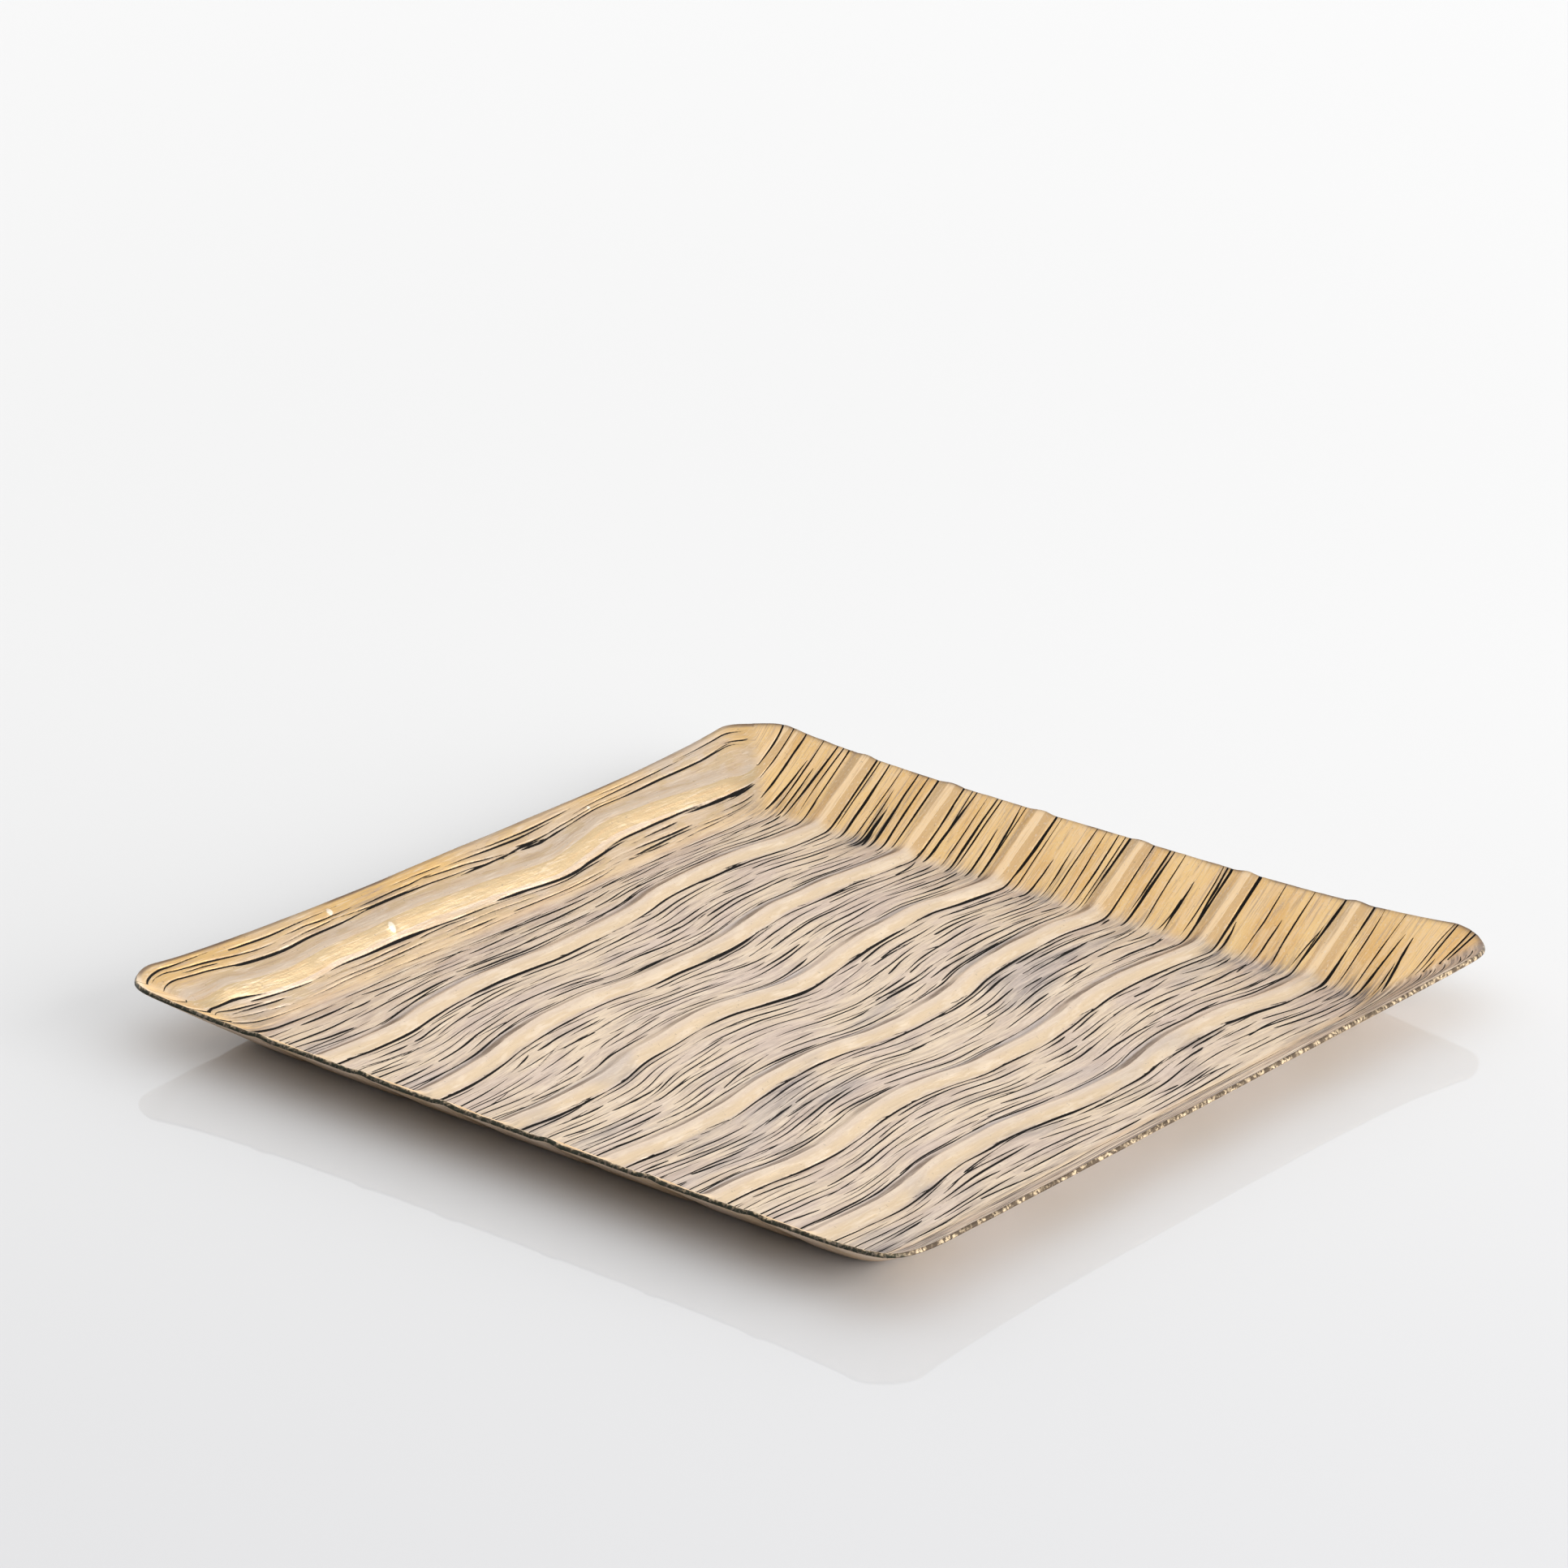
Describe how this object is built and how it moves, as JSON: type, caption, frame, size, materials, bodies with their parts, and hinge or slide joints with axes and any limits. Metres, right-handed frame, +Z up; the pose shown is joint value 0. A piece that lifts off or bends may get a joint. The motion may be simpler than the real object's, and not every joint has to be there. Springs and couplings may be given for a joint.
{
  "type": "serving tray",
  "caption": "Square embossed brass serving tray with a flat floor, low sloping walls and rounded corners, crossed by wavy raised ribs and chased wood-grain lines.",
  "frame": {"origin": "on the resting plane, under the middle of the floor, which is under the middle of the square rim", "axes": "+Z up, square to the floor; Y along the wavy ribs that cross the floor; the seventh rib lies on the wall at -X"},
  "size_m": [0.3059, 0.3044, 0.0207],
  "materials": {
    "patinated_brass": "satin brass with pale worn highlights and black chased lines"
  },
  "bodies": {
    "root": {"tray_sheet": "patinated_brass"}
  },
  "joints": []
}
